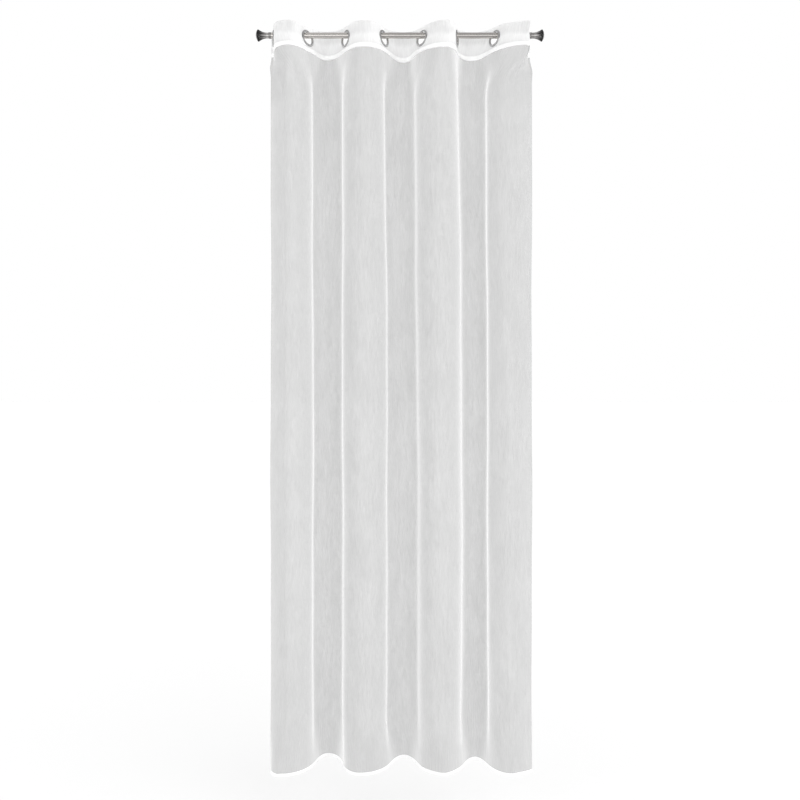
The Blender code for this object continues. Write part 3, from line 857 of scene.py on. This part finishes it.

# The finials' colour is a painted reflection: dark bands by distance from the axis, lighter on the
# dome.
finial_metal, tree = new_material("polished_nickel_painted_reflection")
place = node(tree, 'TexCoord')
across_axis = node(tree, 'VectorMath', MULTIPLY, {1: (0.0, 1.0, 1.0)},
                   {0: place.outputs["Object"]})
from_axis = node(tree, 'VectorMath', {"operation": 'LENGTH'},
                 links={0: across_axis.outputs["Vector"]})
reflection_share = node(tree, 'MapRange', values={"From Max": PAINTED_REFLECTION[-1][0]},
             links={"Value": from_axis.outputs["Value"]})
painted_reflection_ramp = node(tree, 'ValToRGB', links={"Fac": reflection_share.outputs["Result"]})
fill_ramp(painted_reflection_ramp.color_ramp, [(radius / PAINTED_REFLECTION[-1][0], linear(hex_colour))
                              for radius, hex_colour in PAINTED_REFLECTION])
along_axis = node(tree, 'SeparateXYZ', links={"Vector": place.outputs["Object"]})
from_middle = node(tree, 'Math', {"operation": 'ABSOLUTE'}, links={0: along_axis.outputs["X"]})
on_dome = node(tree, 'MapRange', SMOOTH_RANGE,
               {"From Min": DOME_FROM[0], "From Max": DOME_FROM[1]},
               {"Value": from_middle.outputs["Value"]})
painted_reflection_tone = node(tree, 'Mix', COLOUR_MIX, {"B": linear(DOME_REFLECTION_TONE)},
               {"Factor": on_dome.outputs["Result"], "A": painted_reflection_ramp.outputs["Color"]})
haze = node(tree, 'TexNoise', values=HAZE_NOISE, links={"Vector": place.outputs["Object"]})
rough = node(tree, 'MapRange', values={**NOISE_RANGE, **FINIAL_ROUGHNESS},
             links={"Value": haze.outputs["Fac"]})
polish = node(tree, 'BsdfPrincipled', values={"Metallic": 1.0},
              links={"Roughness": rough.outputs["Result"], "Base Color": painted_reflection_tone.outputs["Result"]})
node(tree, 'OutputMaterial', links={"Surface": polish.outputs["BSDF"]})

# %% [markdown]
# ## The voile panel
#
# The rows lie close together below the heading, where the folds change from the eyelets' even
# waves to their own shapes, and again near the hem. The real cloth is a quarter of a millimetre
# thick, so it is one surface: what it lets through then counts once and not twice.

# %% The voile panel
JOIN_GAP = 0.0003  # between the heading's lower edge and the voile
PANEL_ROWS = [  # a height, and how far apart the rows are from there down, in metres
    (SEAM_Z - JOIN_GAP, 0.010), (-0.36, 0.036), (-2.28, 0.012), (HEM_Z + 0.03, 0.006), (HEM_Z, 0),
]


def even_rows(stops):
    """Heights from stop to stop, each stretch in even steps of about the size given for it."""
    heights = []
    for (z, step), (below, _) in zip(stops, stops[1:]):
        count = max(1, round((z - below) / step))
        heights += [z + (below - z) * i / count for i in range(count)]
    return heights + [stops[-1][0]]


panel_heights = even_rows(PANEL_ROWS)
voile_cloth = sheet("voile_cloth", grid_of(panel_heights, creased=True), panel_heights, voile)

# %% [markdown]
# ## The heading
#
# The heading is a stiff band, so it gets a real thickness, which is greater along the turned-in
# strip. Its holes are cut with a cylinder at each eyelet, square to the cloth there.

# %% Where the eyelets lie
eyelet_frames = []
for number, f in enumerate(flanks):
    low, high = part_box(f"eyelet_{number + 1}")
    centre = (Vector(low) + Vector(high)) / 2
    side = 1 if number % 2 else -1
    angle = math.radians(f["angle_head"])
    along = Vector((math.cos(angle), side * math.sin(angle), 0.0))
    upright = Vector((f["lean"], 0.0, 1.0))
    square = along.cross(upright).normalized()
    upright = (upright - square * upright.dot(square)).normalized()
    turn = Matrix((upright.cross(square), upright, square)).transposed().to_4x4()
    eyelet_frames.append(Matrix.Translation(centre) @ turn)
print("eyelet heights:", [round(1000 * m.translation.z, 1) for m in eyelet_frames])

# %% The heading
HEADING_THICK = 0.0013
TURN_IN_THICK = 0.0019
TURN_IN_STEP = 0.0006  # above and below the strip's upper edge, to the nearest row
HEADING_ROWS = [  # as for the panel
    (TOP_Z, 0.004), (SEAM_Z + TURN_IN + TURN_IN_STEP, 2 * TURN_IN_STEP),
    (SEAM_Z + TURN_IN - TURN_IN_STEP, 0.0034), (SEAM_Z, 0),
]
HOLE_RADIUS = 0.0248
CUTTER_SEGMENTS = 64
CUTTER_LENGTH = 0.02

heading_heights = even_rows(HEADING_ROWS)
heading = sheet("heading_cloth", grid_of(heading_heights, creased=False), heading_heights,
                heading_cloth)
strip = heading.vertex_groups.new(name="turned_in")
for r, z in enumerate(heading_heights):
    weight = 1.0 if z < SEAM_Z + TURN_IN else HEADING_THICK / TURN_IN_THICK
    strip.add(list(range(r * COLUMNS, (r + 1) * COLUMNS)), weight, 'REPLACE')
thicken = heading.modifiers.new("thickness", 'SOLIDIFY')
thicken.thickness = TURN_IN_THICK
thicken.offset = 0.0
thicken.vertex_group = "turned_in"
apply_all(heading)

cutters = []
for place_of in eyelet_frames:
    bpy.ops.object.select_all(action='DESELECT')
    bpy.ops.mesh.primitive_cylinder_add(vertices=CUTTER_SEGMENTS, radius=HOLE_RADIUS,
                                        depth=CUTTER_LENGTH)
    cutter = bpy.context.object
    cutter.matrix_world = place_of
    cut = heading.modifiers.new("hole", 'BOOLEAN')
    cut.operation = 'DIFFERENCE'
    cut.solver = 'EXACT'
    cut.object = cutter
    cutters.append(cutter)
bpy.context.view_layer.update()
apply_all(heading)
for cutter in cutters:
    bpy.data.objects.remove(cutter)
print("heading:", len(heading.data.polygons), "faces, with", len(cutters), "holes")

# %% [markdown]
# ## Turned metal
#
# Eyelets, finials and the rod are all turned shapes. Each starts as a circle primitive at the
# first point of its outline. The circle's edge is then extruded along the outline, widened or
# narrowed at each step, as it would be by hand. That keeps every ring of points even, so the
# polish stays smooth.


# %% The turning function
SAME_POINT = 0.00002  # points nearer than this become one
SHARP_FROM = 40  # degrees between two faces, from which their edge stays sharp


def turned(name, outline, segments, surface, closed):
    """A turned piece about its own Z axis, from an outline of (radius, height) in metres."""
    bpy.ops.object.select_all(action='DESELECT')
    (radius, height), rest = outline[0], outline[1:]
    bpy.ops.mesh.primitive_circle_add(vertices=segments, radius=radius,
                                      location=(0.0, 0.0, height))
    piece = bpy.context.object
    bpy.ops.object.transform_apply(location=True, rotation=False, scale=False)
    bpy.ops.object.mode_set(mode='EDIT')
    bpy.ops.mesh.select_all(action='SELECT')
    for next_radius, next_height in rest + (outline[:1] if closed else []):
        bpy.ops.mesh.extrude_edges_move(
            TRANSFORM_OT_translate={"value": (0.0, 0.0, next_height - height)})
        share = next_radius / radius
        bpy.ops.transform.resize(value=(share, share, 1.0),
                                 center_override=(0.0, 0.0, next_height))
        radius, height = next_radius, next_height
    bpy.ops.mesh.select_all(action='SELECT')
    bpy.ops.mesh.remove_doubles(threshold=SAME_POINT)
    bpy.ops.mesh.normals_make_consistent(inside=False)
    bpy.ops.object.mode_set(mode='OBJECT')
    bpy.ops.object.shade_smooth_by_angle(angle=math.radians(SHARP_FROM))
    piece.name = name
    piece.data.name = name
    piece.data.materials.append(surface)
    return piece


def put(piece, matrix):
    """Places a piece and applies the place, so that its object stays at the origin."""
    piece.matrix_world = matrix
    select_only(piece)
    bpy.ops.object.transform_apply(location=True, rotation=True, scale=True)


# %% Eyelets
GRIP = 0.00078  # half the gap in which an eyelet holds the heading
LIP_RADIUS = 0.0283  # of the flange's inner face, where it meets the heading
EYELET_SIDE = [  # radius and height in millimetres, from the bore over the crown to the rim
    (21.5, 0.0), (21.5, 1.7), (21.6, 2.3), (21.9, 2.85), (22.5, 3.2), (23.4, 3.38),
    (24.6, 3.38), (25.8, 3.12), (26.9, 2.65), (27.8, 2.10), (28.35, 1.62), (28.62, 1.22),
    (28.6, 0.92),
]
EYELET_SEGMENTS = 72

one_side = [(r / 1000, h / 1000) for r, h in EYELET_SIDE]
one_side += [(LIP_RADIUS, GRIP), (HOLE_RADIUS, GRIP)]
outline = one_side + [(r, -h) for r, h in one_side[:0:-1]]
eyelets = []
for number, place_of in enumerate(eyelet_frames, 1):
    ring = turned(f"nickel_eyelet_{number}", outline, EYELET_SEGMENTS, eyelet_metal, closed=True)
    put(ring, place_of)
    eyelets.append(ring)
print(len(eyelets), "eyelets,", len(eyelets[0].data.polygons), "faces each")

# %% Rod and finials
ROD_RADIUS = 0.010
ROD_WALL = 0.001
ROD_SPAN = 0.973
FINIAL_LENGTH = 0.0505
FINIAL_GAP = 0.0003  # from the rod to a finial's collar, and from the rod's bore to its spigot
SPIGOT_LENGTH = 0.020
SPIGOT_RADIUS = ROD_RADIUS - ROD_WALL - FINIAL_GAP
CHAMFER = 0.0003
ON_AXIS = 0.00001  # radius at which an outline starts, since a circle needs one
ROD_SEGMENTS = 96
FINIAL_SEGMENTS = 72
FINIAL_OUTLINE = [  # radius and distance from the collar's end, in millimetres
    (10.6, 0.0), (10.9, 0.15), (11.0, 0.5), (11.0, 2.2), (10.8, 2.6), (10.3, 2.95), (10.0, 3.3),
    (10.2, 3.8), (10.55, 4.3), (10.72, 5.0), (10.75, 5.8), (10.65, 6.7), (10.35, 7.6),
    (10.0, 8.4), (9.82, 9.2), (9.72, 11.0), (9.7, 14.0), (9.95, 17.5), (10.45, 20.8),
    (11.15, 24.2), (12.1, 27.5), (13.3, 30.8), (14.7, 33.8), (16.2, 36.6), (17.7, 39.1),
    (18.8, 40.9), (19.4, 41.9), (19.68, 42.6), (19.62, 43.2), (19.3, 43.8), (18.7, 44.5),
    (17.4, 45.6), (15.6, 46.7), (13.2, 47.9), (10.4, 49.0), (7.4, 49.8), (4.4, 50.25),
    (1.5, 50.48), (0.01, 50.5),
]

end = ROD_SPAN / 2 - FINIAL_LENGTH
half = end - FINIAL_GAP
bore = ROD_RADIUS - ROD_WALL
rod = turned("nickel_rod", [(bore, half), (bore, -half), (ROD_RADIUS - CHAMFER, -half),
                            (ROD_RADIUS, CHAMFER - half), (ROD_RADIUS, half - CHAMFER),
                            (ROD_RADIUS - CHAMFER, half)], ROD_SEGMENTS, rod_metal, closed=True)
put(rod, Matrix.Rotation(math.radians(90), 4, 'Y'))

finials = []
for name, side in (("polished_finial_left", -1), ("polished_finial_right", 1)):
    spigot = [(ON_AXIS, -SPIGOT_LENGTH), (SPIGOT_RADIUS, -SPIGOT_LENGTH), (SPIGOT_RADIUS, 0.0)]
    outline = spigot + [(r / 1000, d / 1000) for r, d in FINIAL_OUTLINE]
    finial = turned(name, outline, FINIAL_SEGMENTS, finial_metal, closed=False)
    put(finial, Matrix.Translation((side * end, 0, 0))
        @ Matrix.Rotation(math.radians(90 * side), 4, 'Y'))
    finials.append(finial)
print("rod", round(2 * half, 3), "m long, with", len(finials), "finials")

# %% [markdown]
# ## What stands for what
#
# Every piece rides on the part's one body, and the solids from the model that it stands for
# are hidden.

# %% Pieces on the body
for piece, replaced, finish in [
    (voile_cloth, "voile_panel", "voile"),
    (heading, "heading_band", "heading"),
    (rod, "rod", "rod"),
    (finials[0], "finial_left", "finial"),
    (finials[1], "finial_right", "finial"),
    *[(ring, f"eyelet_{number}", "eyelet") for number, ring in enumerate(eyelets, 1)],
]:
    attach(piece, "root")
    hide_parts(replaced)
